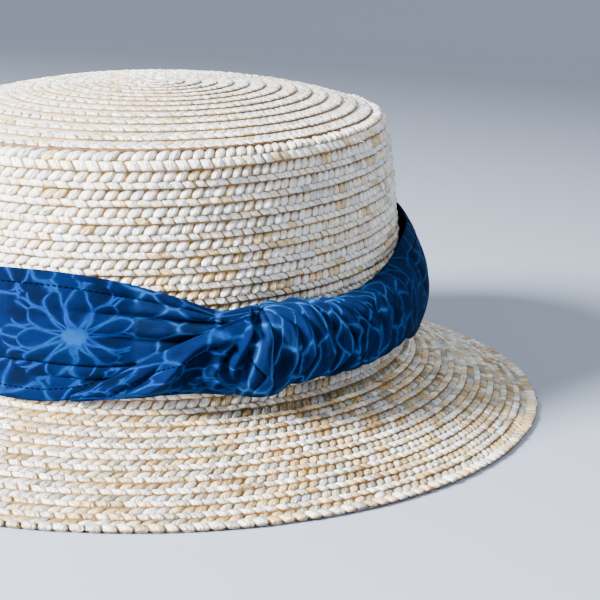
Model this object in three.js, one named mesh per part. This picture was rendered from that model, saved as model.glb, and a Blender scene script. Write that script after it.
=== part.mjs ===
// A straw boater hat with a cotton band, standing on its brim. The crown and brim are sewn from
// plaited straw, and the band is one strip of cloth laid round the foot of the crown: wide and flat
// round most of it, folded over and knotted at the wearer's left front, and twisted into a roll.
// Millimetres, +Z up. The wearer faces -Y, the wearer's left is +X, and the origin lies under the
// middle of the brim on the surface that the hat rests on. Angles run from the front toward +X.

import * as THREE from 'three';

// Driving dimensions. Radii are means: the head oval adds OVAL at front and back and takes it
// off at the sides.
const OVAL = 8.3;
const WALL = 2.2;
const GAP = 0.35;
const SEGMENTS = 72;

const BRIM_RADIUS = 146;
const EDGE_ROW = 5.1;
const EDGE_THICKNESS = 2.2;
const EDGE_ROUNDING = 0.9;

const FOOT_RADIUS = 94.8;
const FOOT_HEIGHT = 15.7;
const SHOULDER_HEIGHT = 92;
const WALL_TAPER = 7.5;
const WALL_BULGE = 2.4;
const SEAM_RADIUS = 79.7;
const SEAM_HEIGHT = 97.6;
const DOME_HEIGHT = 9.7;
const DOME_POWER = 2.9;

// The crown stands tilted on the brim: its back is higher, and it leans toward the front.
const TILT = Math.tan(THREE.MathUtils.degToRad(4.2));
const LEAN_CENTRE = 38;

// The band's cloth, how far it stands off the straw, the gap between its neighbouring pieces in
// degrees, and how full its swollen parts are across: below 1 is fuller than an arch.
const CLOTH = 1.8;
const CLOTH_STAND = 0.45;
const GAP_ANGLE = 0.3;
const SWELL_POWER = 0.75;

const STRAW = { color: 0xe2d3b0, roughness: 0.6, metalness: 0 };
const BATIK = { color: 0x123f86, roughness: 0.85, metalness: 0 };

// Where a point of the round hat stands once the hat is oval and its crown tilted.
function place(angle, radius, height) {
  const oval = OVAL * Math.min(radius / SEAM_RADIUS, 1);
  const reach = radius + oval * Math.cos(2 * angle);
  const along = -reach * Math.cos(angle);
  const rise = THREE.MathUtils.clamp((height - FOOT_HEIGHT) / (SHOULDER_HEIGHT - FOOT_HEIGHT), 0, 1);
  const settle = 1 - (1 - rise) ** 2;
  const onBrim = THREE.MathUtils.clamp((BRIM_RADIUS - radius) / (BRIM_RADIUS - FOOT_RADIUS), 0, 1);
  const lean = TILT * (LEAN_CENTRE - Math.max(height, FOOT_HEIGHT)) * onBrim;
  return new THREE.Vector3(reach * Math.sin(angle), along + lean, height + TILT * along * settle);
}

// The outside of the crown's wall at a height.
function wallRadius(height) {
  const rise = (height - FOOT_HEIGHT) / (SHOULDER_HEIGHT - FOOT_HEIGHT);
  return FOOT_RADIUS - WALL_TAPER * rise - WALL_BULGE * rise * rise;
}

function domeHeight(radius) {
  return SEAM_HEIGHT + DOME_HEIGHT * (1 - (radius / SEAM_RADIUS) ** DOME_POWER);
}

// A round of straw: a closed profile of radius and height, turned about the hat's axis and
// then made oval and tilted.
function turned(profile) {
  const points = profile.map(([radius, height]) => new THREE.Vector2(radius, height));
  const geometry = new THREE.LatheGeometry(points, SEGMENTS);
  const position = geometry.getAttribute('position');
  for (let i = 0; i < position.count; i += 1) {
    const across = position.getX(i);
    const ahead = position.getZ(i);
    const spot = place(Math.atan2(across, ahead), Math.hypot(across, ahead), position.getY(i));
    position.setXYZ(i, spot.x, spot.y, spot.z);
  }
  geometry.computeVertexNormals();
  return geometry;
}

// A solid through a row of closed rings, each an equal number of points, with both ends capped.
function lofted(rings) {
  const size = rings[0].length;
  const corners = rings.flat();
  const faces = [];
  for (let ring = 0; ring + 1 < rings.length; ring += 1) {
    for (let step = 0; step < size; step += 1) {
      const here = ring * size + step;
      const beside = ring * size + ((step + 1) % size);
      faces.push(here, here + size, beside, beside, here + size, beside + size);
    }
  }
  for (const [ring, turn] of [[0, 1], [rings.length - 1, -1]]) {
    const middle = new THREE.Vector3();
    rings[ring].forEach((corner) => middle.addScaledVector(corner, 1 / size));
    corners.push(middle);
    for (let step = 0; step < size; step += 1) {
      const here = ring * size + step;
      const beside = ring * size + ((step + 1) % size);
      faces.push(corners.length - 1, turn > 0 ? here : beside, turn > 0 ? beside : here);
    }
  }
  const geometry = new THREE.BufferGeometry().setFromPoints(corners);
  geometry.setIndex(faces);
  geometry.computeVertexNormals();
  return geometry;
}

// A smooth curve through one column of a table, over its key column.
function through(table, key, column) {
  const keys = table.map((row) => row[key]);
  const curve = new THREE.CubicInterpolant(keys, table.map((row) => row[column]), 1);
  return (at) => curve.evaluate(at)[0];
}

// A point on the crown's wall, standing off it by some millimetres.
function onWall(degrees, height, stand) {
  return place(THREE.MathUtils.degToRad(degrees), wallRadius(height) + stand, height);
}

function crownTip() {
  const outside = [SEAM_RADIUS, 74, 66, 54, 36, 0].map((radius) => [radius, domeHeight(radius)]);
  const inside = [0, 36, 56, 70].map((radius) => [radius, domeHeight(radius) - WALL]);
  const rim = [SEAM_RADIUS - 0.7 * WALL, SEAM_HEIGHT - 0.7 * WALL];
  return turned([...inside, rim, ...outside]);
}

function crownSide() {
  const heightAt = (rise) => FOOT_HEIGHT + rise * (SHOULDER_HEIGHT - FOOT_HEIGHT);
  const outside = [0.2, 0.4, 0.6, 0.8, 1].map((rise) => [wallRadius(heightAt(rise)), heightAt(rise)]);
  const inside = [1, 0.67, 0.33].map((rise) => [wallRadius(heightAt(rise)) - WALL, heightAt(rise)]);
  const bottom = FOOT_HEIGHT + GAP;
  const seam = [SEAM_RADIUS + 0.7 * GAP, SEAM_HEIGHT - 0.7 * GAP];
  const shoulder = [SEAM_RADIUS + 3.5, SEAM_HEIGHT - 2];
  return turned([
    [FOOT_RADIUS - WALL, bottom],
    [FOOT_RADIUS, bottom],
    ...outside,
    shoulder,
    seam,
    [seam[0] - 0.7 * WALL, seam[1] - 0.7 * WALL],
    ...inside,
    [FOOT_RADIUS - WALL, bottom],
  ]);
}

function brim() {
  const edgeStart = BRIM_RADIUS - EDGE_ROW;
  const underside = FOOT_HEIGHT - WALL;
  return turned([
    [FOOT_RADIUS - WALL, underside],
    [edgeStart - 0.5, 0],
    [BRIM_RADIUS - EDGE_ROUNDING, 0],
    [BRIM_RADIUS, EDGE_THICKNESS / 2],
    [BRIM_RADIUS - EDGE_ROUNDING, EDGE_THICKNESS - 0.2],
    [edgeStart, EDGE_THICKNESS],
    [FOOT_RADIUS, FOOT_HEIGHT],
    [FOOT_RADIUS - WALL, FOOT_HEIGHT],
    [FOOT_RADIUS - WALL, underside],
  ]);
}

// The knot's crossing fold slants: it stands at one angle at its top and another at its foot.
const KNOT = { topAngle: 48.4, footAngle: 50, top: 51.5, foot: 21.5, halfWidth: 1.6 };

function knotAngle(height) {
  return THREE.MathUtils.mapLinear(height, KNOT.foot, KNOT.top, KNOT.footAngle, KNOT.topAngle);
}

// The panel's stretch from the roll's far end right round to the neck beside the knot. Its edge
// and middle are how far its hems and its middle stand off the crown.
const PANEL = [
  { angle: 97.4, bottom: 27, top: 54.5, edge: 2, middle: 9.4 },
  { angle: 106, bottom: 22.5, top: 58, edge: 2.4, middle: 9.8 },
  { angle: 118, bottom: 19.5, top: 59.6, edge: 2.2, middle: 9.2 },
  { angle: 132, bottom: 19, top: 61, edge: 1.2, middle: 4.6 },
  { angle: 148, bottom: 19, top: 62, edge: 0.6, middle: 1.4 },
  { angle: 180, bottom: 19, top: 62, edge: 0.45, middle: 0.9 },
  { angle: 270, bottom: 19, top: 62, edge: 0.45, middle: 0.9 },
  { angle: 360, bottom: 19, top: 62.4, edge: 0.45, middle: 0.9 },
  { angle: 376, bottom: 20, top: 62.4, edge: 0.45, middle: 0.9 },
  { angle: 385, bottom: 25.5, top: 60.1, edge: 0.45, middle: 0.8 },
  { angle: 395, bottom: 35.5, top: 54.8, edge: 0.45, middle: 0.6 },
  { angle: 404, bottom: 42.5, top: 48.2, edge: 0.45, middle: 0.45 },
];
const PANEL_STEP = 5.2;
const ACROSS = [0, 0.15, 0.35, 0.5, 0.65, 0.85, 1];

function bandPanel() {
  const [bottom, top, edge, middle] = ['bottom', 'top', 'edge', 'middle'].map(
    (column) => through(PANEL, 'angle', column),
  );
  const first = PANEL[0].angle;
  const last = PANEL[PANEL.length - 1].angle;
  const steps = Math.round((last - first) / PANEL_STEP);
  const rings = [];
  for (let step = 0; step <= steps; step += 1) {
    const angle = THREE.MathUtils.lerp(first, last, step / steps);
    const face = (extra) => ACROSS.map((share) => {
      const height = THREE.MathUtils.lerp(bottom(angle), top(angle), share);
      const swell = Math.sin(Math.PI * share) ** SWELL_POWER;
      return onWall(angle, height, THREE.MathUtils.lerp(edge(angle), middle(angle), swell) + extra);
    });
    rings.push([...face(CLOTH), ...face(0).reverse()]);
  }
  return lofted(rings);
}

// The fold from its tip on the band's lower edge to the knot. Its share runs from 0 at the tip
// to 1 at the knot, and its stand is how far its bulging face is from the crown.
const FOLD_TIP = 17.5;
const FOLD_UNDER = 0.9 + CLOTH + GAP;
const FOLD = [
  { share: 0, bottom: 20.4, top: 22, stand: 4.4 },
  { share: 0.16, bottom: 21.2, top: 27, stand: 4.8 },
  { share: 0.43, bottom: 22.3, top: 36.2, stand: 6.5 },
  { share: 0.72, bottom: 23, top: 44.9, stand: 9.5 },
  { share: 1, bottom: 21.6, top: 50.6, stand: 12 },
];
const FOLD_STEPS = 10;

function bandFold() {
  const [bottom, top, stand] = ['bottom', 'top', 'stand'].map(
    (column) => through(FOLD, 'share', column),
  );
  const rings = [];
  for (let step = 0; step <= FOLD_STEPS; step += 1) {
    const share = step / FOLD_STEPS;
    const face = (bulge) => ACROSS.map((across) => {
      const height = THREE.MathUtils.lerp(bottom(share), top(share), across);
      const knotEdge = knotAngle(height) - KNOT.halfWidth - GAP_ANGLE;
      const angle = THREE.MathUtils.lerp(FOLD_TIP, knotEdge, share);
      return onWall(angle, height, FOLD_UNDER + bulge * Math.sin(Math.PI * across) ** SWELL_POWER);
    });
    const outside = face(stand(share) - FOLD_UNDER);
    const inside = face(0).slice(1, -1).reverse();
    rings.push([...outside, ...inside]);
  }
  return lofted(rings);
}

// The knot: a narrow upright fold of gathered cloth, rounded across, from its foot to its top.
const KNOT_RINGS = [
  { share: 0, width: 0.5, stand: 8.5 },
  { share: 0.12, width: 0.9, stand: 12 },
  { share: 0.4, width: 1, stand: 14.5 },
  { share: 0.75, width: 0.9, stand: 14.5 },
  { share: 0.93, width: 0.9, stand: 12.5 },
  { share: 1, width: 0.6, stand: 9 },
];
const KNOT_CORNERS = 12;

function bandKnot() {
  const rings = KNOT_RINGS.map((row) => {
    const height = THREE.MathUtils.lerp(KNOT.foot, KNOT.top, row.share);
    const middle = (row.stand + CLOTH_STAND) / 2;
    const reach = (row.stand - CLOTH_STAND) / 2;
    return Array.from({ length: KNOT_CORNERS }, (_, corner) => {
      const turn = (2 * Math.PI * corner) / KNOT_CORNERS;
      const side = Math.sign(Math.cos(turn)) * Math.abs(Math.cos(turn)) ** SWELL_POWER;
      const angle = knotAngle(height) + KNOT.halfWidth * row.width * side;
      return onWall(angle, height, middle + reach * Math.sin(turn));
    });
  });
  return lofted(rings);
}

// The twisted roll, from the knot to where the cloth opens out into the panel again.
const ROLL_END = 97.1;
const ROLL = [
  { share: 0, bottom: 21.8, top: 50.8, stand: 13 },
  { share: 0.13, bottom: 25.5, top: 51, stand: 14 },
  { share: 0.35, bottom: 25.8, top: 48, stand: 13.5 },
  { share: 0.55, bottom: 25.8, top: 47.8, stand: 13 },
  { share: 0.8, bottom: 27, top: 50.5, stand: 13 },
  { share: 1, bottom: 27, top: 54.5, stand: 12.8 },
];
const ROLL_STEPS = 14;
const ROLL_CORNERS = 14;

function bandRoll() {
  const [bottom, top, stand] = ['bottom', 'top', 'stand'].map(
    (column) => through(ROLL, 'share', column),
  );
  const rings = [];
  for (let step = 0; step <= ROLL_STEPS; step += 1) {
    const share = step / ROLL_STEPS;
    const middle = (bottom(share) + top(share)) / 2;
    const half = (top(share) - bottom(share)) / 2;
    const reach = (stand(share) - CLOTH_STAND) / 2;
    rings.push(Array.from({ length: ROLL_CORNERS }, (_, corner) => {
      const turn = (2 * Math.PI * (corner + 0.5)) / ROLL_CORNERS;
      const height = middle - half * Math.cos(turn);
      const out = Math.sign(Math.sin(turn)) * Math.abs(Math.sin(turn)) ** SWELL_POWER;
      const knotEdge = knotAngle(height) + KNOT.halfWidth + GAP_ANGLE;
      const angle = THREE.MathUtils.lerp(knotEdge, ROLL_END, share);
      return onWall(angle, height, CLOTH_STAND + reach * (1 + out));
    }));
  }
  return lofted(rings);
}

const hat = new THREE.Group();
const pieces = [
  ['crown_tip', crownTip, STRAW],
  ['crown_side', crownSide, STRAW],
  ['brim', brim, STRAW],
  ['band_panel', bandPanel, BATIK],
  ['band_fold', bandFold, BATIK],
  ['band_knot', bandKnot, BATIK],
  ['band_roll', bandRoll, BATIK],
];
for (const [name, shape, look] of pieces) {
  const mesh = new THREE.Mesh(shape(), new THREE.MeshStandardMaterial(look));
  mesh.name = name;
  hat.add(mesh);
}

export default hat;
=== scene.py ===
import math
from collections import namedtuple

import bpy
import numpy as np
from mathutils import Matrix, Vector


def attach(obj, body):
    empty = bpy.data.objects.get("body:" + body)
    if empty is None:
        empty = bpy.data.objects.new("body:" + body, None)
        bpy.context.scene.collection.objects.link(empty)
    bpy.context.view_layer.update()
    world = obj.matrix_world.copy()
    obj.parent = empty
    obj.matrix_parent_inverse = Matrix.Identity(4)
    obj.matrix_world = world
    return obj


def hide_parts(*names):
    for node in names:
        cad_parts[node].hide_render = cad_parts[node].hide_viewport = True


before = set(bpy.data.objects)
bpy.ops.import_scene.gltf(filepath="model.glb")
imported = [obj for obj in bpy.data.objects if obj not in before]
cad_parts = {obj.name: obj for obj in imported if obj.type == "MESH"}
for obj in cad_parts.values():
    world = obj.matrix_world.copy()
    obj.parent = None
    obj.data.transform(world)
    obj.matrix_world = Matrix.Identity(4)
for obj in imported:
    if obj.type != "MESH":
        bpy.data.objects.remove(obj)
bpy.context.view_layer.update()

MM = 0.001
FULL_TURN = 2 * math.pi

# ---- the hat's own dimensions, mm
# Radii are means: the head oval adds OVAL at front and back and takes it off at the sides.
OVAL = 8.3
BRIM_RADIUS = 146
EDGE_SEAM_RADIUS = 140.9
EDGE_SEAM_HEIGHT = 2.2
FOOT_RADIUS = 94.8
FOOT_HEIGHT = 15.7
SHOULDER_HEIGHT = 92
WALL_TAPER = 7.5
WALL_BULGE = 2.4
SEAM_RADIUS = 79.7
SEAM_HEIGHT = 97.6
DOME_HEIGHT = 9.7
DOME_POWER = 2.9
TILT = math.tan(math.radians(4.2))
LEAN_CENTRE = 38
# The corner inside which the shoulder is rounded, as radius and height. Where the bend at the
# wall's foot starts on the wall, and how far out on the brim it ends.
SHOULDER_CORNER = (84.6, 96.2)
BEND_TOP = 19.5
BEND_REACH = 3.4
# How far the outline runs on past the edge seam.
SPARE = 12

# ---- the camera
CAMERA_PLACE = (0.2381, -0.3947, 0.1333)
CAMERA_HEADING = 24.7
CAMERA_DOWN = 12.57
CAMERA_ROLL = 3.9
CAMERA_LENS = 77.3

# ---- the plait, mm
# Rows are numbered along the outline of the hat: 0 is the seam on the shoulder, negative rows lie
# on the tip, and the outermost row starts at EDGE_ROW. One coil runs through all of them.
TIP_ROWS = 13.7
COIL_ZERO = math.radians(31.1)
WALL_ROW_PITCH = 5.12
LAST_EVEN_ROW = 10
BRIM_ROW = 16
BRIM_ROW_RADIUS = 96.3
EDGE_ROW = 25
COIL_END = 24.5
STITCH_PITCH = 3.4
EDGE_STITCH_PITCH = 3.9
PLAIT_THICKNESS = 1.5
# How far the outermost row is sunk at its inner edge, how far it curls up toward its outer edge,
# and the share of its thickness that it loses there.
EDGE_SINK = 0.45
EDGE_CURL = 1.3
EDGE_THINNING = 0.35
# How far the backing of the inner side lies above it, and the rim above the ground.
INNER_BACKING = 0.62
LOWEST = 0.03

# How much a row's outer edge stands above its inner edge, which is tucked under the row before it
# and sunk below the outline, at a few row numbers.
LEVEL_ROWS = [-14, -1, 1, 13, 16, 25]
ROW_STEPS = [0.42, 0.52, 0.9, 0.9, 0.75, 0.65]
ROW_SINKS = [0.45, 0.45, 0.8, 0.8, 0.5, 0.45]


def add_object(name, data):
    obj = bpy.data.objects.new(name, data)
    bpy.context.scene.collection.objects.link(obj)
    return obj


def camera():
    data = bpy.data.cameras.new("camera")
    data.sensor_width = 36
    data.lens = CAMERA_LENS
    data.clip_start = 0.02
    data.clip_end = 20
    obj = add_object("camera", data)
    pose = Matrix.Translation(CAMERA_PLACE)
    for angle, axis in ((CAMERA_HEADING, "Z"), (90 - CAMERA_DOWN, "X"), (CAMERA_ROLL, "Z")):
        pose = pose @ Matrix.Rotation(math.radians(angle), 4, axis)
    obj.matrix_world = pose
    bpy.context.scene.camera = obj


# ---- the hat's form

def smooth(low, high, value):
    """A soft step from 0 at low to 1 at high."""
    share = np.clip((value - low) / (high - low), 0, 1)
    return share * share * (3 - 2 * share)


def place(angle, radius, height):
    """Where a point of the round hat lies once the hat is oval and its crown tilted, mm."""
    angle, radius, height = np.broadcast_arrays(angle, radius, height)
    reach = radius + OVAL * np.minimum(radius / SEAM_RADIUS, 1) * np.cos(2 * angle)
    along = -reach * np.cos(angle)
    rise = np.clip((height - FOOT_HEIGHT) / (SHOULDER_HEIGHT - FOOT_HEIGHT), 0, 1)
    settle = 1 - (1 - rise) ** 2
    on_brim = np.clip((BRIM_RADIUS - radius) / (BRIM_RADIUS - FOOT_RADIUS), 0, 1)
    lean = TILT * (LEAN_CENTRE - np.maximum(height, FOOT_HEIGHT)) * on_brim
    return np.stack([reach * np.sin(angle), along + lean, height + TILT * along * settle], -1)


def wall_radius(height):
    rise = (height - FOOT_HEIGHT) / (SHOULDER_HEIGHT - FOOT_HEIGHT)
    return FOOT_RADIUS - WALL_TAPER * rise - WALL_BULGE * rise * rise


def bend(start, corner, end):
    """A smooth curve from start to end, pulled toward corner."""
    share = np.linspace(0, 1, 24)[:, None]
    start, corner, end = (np.array(point, float) for point in (start, corner, end))
    return (1 - share) ** 2 * start + 2 * share * (1 - share) * corner + share ** 2 * end


def run_along(path):
    """How far along a path each of its points lies."""
    return np.concatenate([[0], np.cumsum(np.linalg.norm(np.diff(path, axis=0), axis=1))])


def unit(vectors):
    return vectors / (np.linalg.norm(vectors, axis=-1, keepdims=True) + 1e-12)


class Outline:
    """The outline from the tip's centre to past the brim's edge, by row number."""

    def __init__(self):
        radius = np.linspace(0, SEAM_RADIUS, 240)
        dome_rise = DOME_HEIGHT * (1 - (radius / SEAM_RADIUS) ** DOME_POWER)
        dome = np.stack([radius, SEAM_HEIGHT + dome_rise], 1)
        height = np.linspace(SHOULDER_HEIGHT, BEND_TOP, 200)
        wall = np.stack([wall_radius(height), height], 1)
        shoulder = bend(dome[-1], SHOULDER_CORNER, wall[0])
        slope = (FOOT_HEIGHT - EDGE_SEAM_HEIGHT) / (EDGE_SEAM_RADIUS - FOOT_RADIUS)
        brim_start = (FOOT_RADIUS + BEND_REACH, FOOT_HEIGHT - BEND_REACH * slope)
        foot = bend(wall[-1], (FOOT_RADIUS, FOOT_HEIGHT), brim_start)
        brim_end = (EDGE_SEAM_RADIUS + SPARE, EDGE_SEAM_HEIGHT - SPARE * slope)
        brim = np.linspace(brim_start, brim_end, 160)
        line = np.concatenate([dome, shoulder[1:], wall[1:], foot[1:], brim[1:]])
        self.line, self.run = line, run_along(line)
        tangent = np.gradient(line, self.run, axis=0)
        self.normal = unit(np.stack([-tangent[:, 1], tangent[:, 0]], 1))
        tip_end = len(dome) - 1
        wall_start = tip_end + len(shoulder) - 1
        even_height = SHOULDER_HEIGHT - WALL_ROW_PITCH * (LAST_EVEN_ROW - 1)
        last_even = wall_start + np.argmin(abs(height - even_height))
        brim_row, edge_row = (np.argmin(abs(line[:, 0] - radius))
                              for radius in (BRIM_ROW_RADIUS, EDGE_SEAM_RADIUS))
        marks = self.run[[0, tip_end, wall_start, last_even, brim_row, edge_row]]
        pitch = (marks[-1] - marks[-2]) / (EDGE_ROW - BRIM_ROW)
        self.rows = [-TIP_ROWS, 0, 1, LAST_EVEN_ROW, BRIM_ROW, EDGE_ROW, EDGE_ROW + 2]
        self.marks = [*marks, marks[-1] + 2 * pitch]

    def run_at(self, row):
        return np.interp(row, self.rows, self.marks)

    def radius(self, row):
        return np.interp(self.run_at(row), self.run, self.line[:, 0])

    def pitch(self, row):
        """The width of a row, within reason at the ends of the coil."""
        return (self.run_at(row + 0.5) - self.run_at(row - 0.5)).clip(2, 9)

    def point(self, row, angle, off):
        """The point at a row number and angle, standing off the surface."""
        run = self.run_at(row)
        radius, height = (np.interp(run, self.run, self.line[:, axis])
                          + off * np.interp(run, self.run, self.normal[:, axis]) for axis in (0, 1))
        return place(angle, radius, height)


OUTLINE = Outline()
# The last points of the outline, which lie on the brim.
ON_BRIM = slice(-150, None)


def coil_angle(row):
    """The angle at which the coil's inner edge has a row number."""
    return COIL_ZERO - FULL_TURN * row


def row_step(row):
    """How much higher a row's outer edge stands than its inner edge."""
    return np.interp(row, LEVEL_ROWS, ROW_STEPS)


def around(row):
    """The way round the hat along the middle of a row, mm."""
    return FULL_TURN * np.maximum(OUTLINE.radius(row + 0.5), 2)


def above_ground(points):
    points[..., 2] = np.maximum(points[..., 2], LOWEST)
    return points


def on_coil(row, along, across, off):
    """A point on the plait: along is mm to the right along the row, across is 0 at its inner edge
    and 1 at its outer edge, and off is mm off its level."""
    turned = row - along / around(row)
    level = row_step(row) * across - np.interp(row, LEVEL_ROWS, ROW_SINKS)
    return above_ground(OUTLINE.point(turned + across, coil_angle(turned), level + off))


def on_edge(row, along, across, off):
    """The same on the outermost row, which follows the coil inside and the brim's edge outside,
    and curls level there."""
    turned = row - along / (FULL_TURN * BRIM_RADIUS)
    edge = np.interp(BRIM_RADIUS, OUTLINE.line[ON_BRIM, 0], OUTLINE.run[ON_BRIM])
    last = np.interp(edge, OUTLINE.marks, OUTLINE.rows)
    spot = turned + (last - turned) * across
    level = -EDGE_SINK + EDGE_CURL * across ** 2
    return above_ground(OUTLINE.point(spot, coil_angle(turned), level + off))


def under_coil(row, along, across, off):
    """The inner side of the plait."""
    return on_coil(row, along, across, off - PLAIT_THICKNESS)


def under_edge(row, along, across, off):
    """The underside of the outermost row, which thins toward the rim."""
    return on_edge(row, along, across, off - PLAIT_THICKNESS * (1 - EDGE_THINNING * across))


def stitches(first, last, pitch):
    """The row numbers at which successive stitches of the coil lie."""
    rows = np.linspace(first, last, 4000)
    length = around(rows) / pitch
    count = np.concatenate([[0], np.cumsum((length[1:] + length[:-1]) / 2 * np.diff(rows))])
    whole = max(1, round(count[-1]))
    return np.interp(np.arange(whole) * count[-1] / whole, count, rows)


# ---- meshes from arrays

def make_mesh(name, points, faces, materials, slots=None, attributes=None):
    """A mesh object from points in mm and quads, with a material slot for each quad and named
    attributes for each point."""
    mesh = bpy.data.meshes.new(name)
    mesh.vertices.add(len(points))
    mesh.vertices.foreach_set("co", (points * MM).astype(np.float32).ravel())
    mesh.loops.add(faces.size)
    mesh.loops.foreach_set("vertex_index", faces.astype(np.int32).ravel())
    mesh.polygons.add(len(faces))
    mesh.polygons.foreach_set("loop_start", np.arange(len(faces), dtype=np.int32) * 4)
    mesh.polygons.foreach_set("use_smooth", np.ones(len(faces), bool))
    if slots is not None:
        mesh.polygons.foreach_set("material_index", slots.astype(np.int32))
    for key, values in (attributes or {}).items():
        kind, field = ("FLOAT_COLOR", "color") if values.shape[1] == 4 else ("FLOAT_VECTOR", "vector")
        made = mesh.attributes.new(key, kind, "POINT")
        made.data.foreach_set(field, values.astype(np.float32).ravel())
    for material in materials:
        mesh.materials.append(material)
    mesh.update(calc_edges=True)
    mesh.validate()
    return add_object(name, mesh)


def grid_faces(rows, columns):
    """The quads of a grid of rows by columns points."""
    first = (np.arange(rows - 1)[:, None] * columns + np.arange(columns - 1)).ravel()
    return np.stack([first, first + columns, first + columns + 1, first + 1], 1)


class Heap:
    """Points, quads and attributes gathered for one joined mesh."""

    def __init__(self):
        self.parts, self.size = [], 0

    def add(self, points, faces, tints, fibres, slot=0):
        tints = np.concatenate([tints, np.ones((len(tints), 1))], 1)
        slots = np.full(len(faces), slot)
        self.parts.append((points, faces + self.size, tints, fibres, slots))
        self.size += len(points)

    def build(self, name, materials):
        points, faces, tints, fibres, slots = map(np.concatenate, zip(*self.parts))
        return make_mesh(name, points, faces, materials, slots, {"tint": tints, "fibre": fibres})


def stand_for(piece, node_name):
    """Puts a piece in the place of a node of the CAD model."""
    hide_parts(node_name)
    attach(piece, "root")


# ---- the plait's stitches

STRAW_TINTS = np.array([
    [0.97, 0.967, 0.955],
    [0.82, 0.86, 0.91],
    [0.92, 0.86, 0.71],
    [0.78, 0.61, 0.36],
    [0.56, 0.38, 0.17],
    [0.58, 0.6, 0.54],
])
BROWN = np.array([[False, False, False, True, True, True]])
# How often each tint comes, for the leaves and for the puffs.
CROWN_MIX = ([0.5, 0.22, 0.22, 0.04, 0.003, 0.015], [0.57, 0.19, 0.2, 0.035, 0, 0.005])
BRIM_MIX = ([0.2, 0.18, 0.15, 0.23, 0.06, 0.18], [0.42, 0.2, 0.18, 0.14, 0.02, 0.04])

# How much single stitches are darker or lighter than their tint.
SPREAD = (0.76, 1.14)
BRIM_SPREAD = (0.5, 1.2)

# A straw's rim keeps this share of its colour: partly stained straw edges, partly painted shade
# between the stitches. It keeps less on the hat's right, which is painted shade on the side away from
# the key lamp.
RIM_STAIN_AND_SHADE = np.array([[0.69, 0.53, 0.32]])
SHADE_ON_RIGHT = 2.4

# The backing sheets under the stitches. Outside, their dark brown is painted shade in the gaps
# between the stitches.
CROWN_GAP_SHADE = (0.36, 0.22, 0.075)
BRIM_GAP_SHADE = (0.26, 0.14, 0.032)
INNER_TINT = (0.42, 0.26, 0.12)

# Each stitch lies over its right neighbour, so it stands this much higher there, mm.
OVERLAP = 0.12


def strand_tints(count, mix, rng, warm, spread):
    """A tint for each stitch, often shared with the next one. warm is more than 1 where the straw
    is browner."""
    straw = np.repeat(np.arange(count), rng.integers(1, 3, count))[:count]
    weights = np.array(mix)[None] * np.where(BROWN, warm[:, None], 1)
    edges = np.cumsum(weights, 1) / weights.sum(1, keepdims=True)
    picks = (rng.random(count)[straw][:, None] > edges).sum(1).clip(0, len(STRAW_TINTS) - 1)
    warmth = rng.normal(0, 0.03, (count, 1)) * np.array([[0.4, -0.2, -1]])
    return (STRAW_TINTS[picks] * (1 + warmth) * rng.uniform(*spread, (count, 1))).clip(0, 0.97)


def warmth_at(rows):
    """How much browner the straw is low on the crown's side and on its right."""
    on_side = (rows > 3) & (rows < BRIM_ROW)
    right = np.clip(np.sin(coil_angle(rows)), 0, 1) * (rows > 0)
    at_edge = rows > COIL_END - 0.3
    return 1 + 1.2 * smooth(2, 9, rows) * on_side + 1.8 * right + 2 * right * at_edge


# A row has a long slanted leaf and, along its outer edge, a short puff at each stitch. top and
# bottom are across the row, slant is mm along it, rise is the height at each of RISE_SHARES on
# the way down, flat is how square the section is, blunt the ends, and narrow is the share of the
# width that is left at the top.
Form = namedtuple("Form", "top bottom slant width height rise flat blunt narrow")
RISE_SHARES = [0, 0.12, 0.36, 0.64, 0.88, 1]
LEAF_RISE = [0, 0.26, 0.48, 1, 0.88, 0]
BRIM_RISE = [0, 0.42, 0.84, 1, 0.84, 0]
PUFF_RISE = [0, 0.72, 0.95, 1, 0.92, 0]
SIDE_FORMS = (Form(-0.14, 0.66, 2.3, 3.6, 1.45, LEAF_RISE, 2.1, 0.12, 0.62),
              Form(0.6, 1, -1.5, 3.42, 0.74, PUFF_RISE, 4.5, 0.86, 1))
TIP_FORMS = (Form(-0.14, 0.66, 2.4, 3.9, 0.44, LEAF_RISE, 3.5, 0.7, 1),
             Form(0.5, 1.02, -1.5, 3.42, 0.52, PUFF_RISE, 4.5, 0.86, 1))
BRIM_FORMS = (Form(-0.08, 0.58, 1.8, 3.7, 1.12, BRIM_RISE, 2.3, 0.25, 0.9),
              Form(0.52, 1.02, -1.4, 3.42, 0.74, PUFF_RISE, 3.6, 0.7, 1))
EDGE_FORMS = (Form(-0.08, 0.5, 1.8, 4.4, 1.12, BRIM_RISE, 2.3, 0.25, 0.9),
              Form(0.3, 1, -1.2, 3.95, 1, PUFF_RISE, 3.5, 0.7, 1))

# How much single stitches differ from their form: in shares of the width and the slant, in the
# shift along the row, in a share of the height, in the top and bottom, and in the lean.
VARIATION = (0.07, 0.12, 0.13, 0.14, 0.012, 0.016, 0.16)

# Where a stitch's points lie: shares of the way down, and shares of its half width.
FINE_GRID = (RISE_SHARES, [-1, -0.76, 0, 0.76, 1])
COARSE_GRID = ([0, 0.3, 0.85, 1], [-1, -0.65, 0.65, 1])
INSIDE_GRID = ([0, 0.3, 0.85, 1], [-1, 0, 1])


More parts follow.
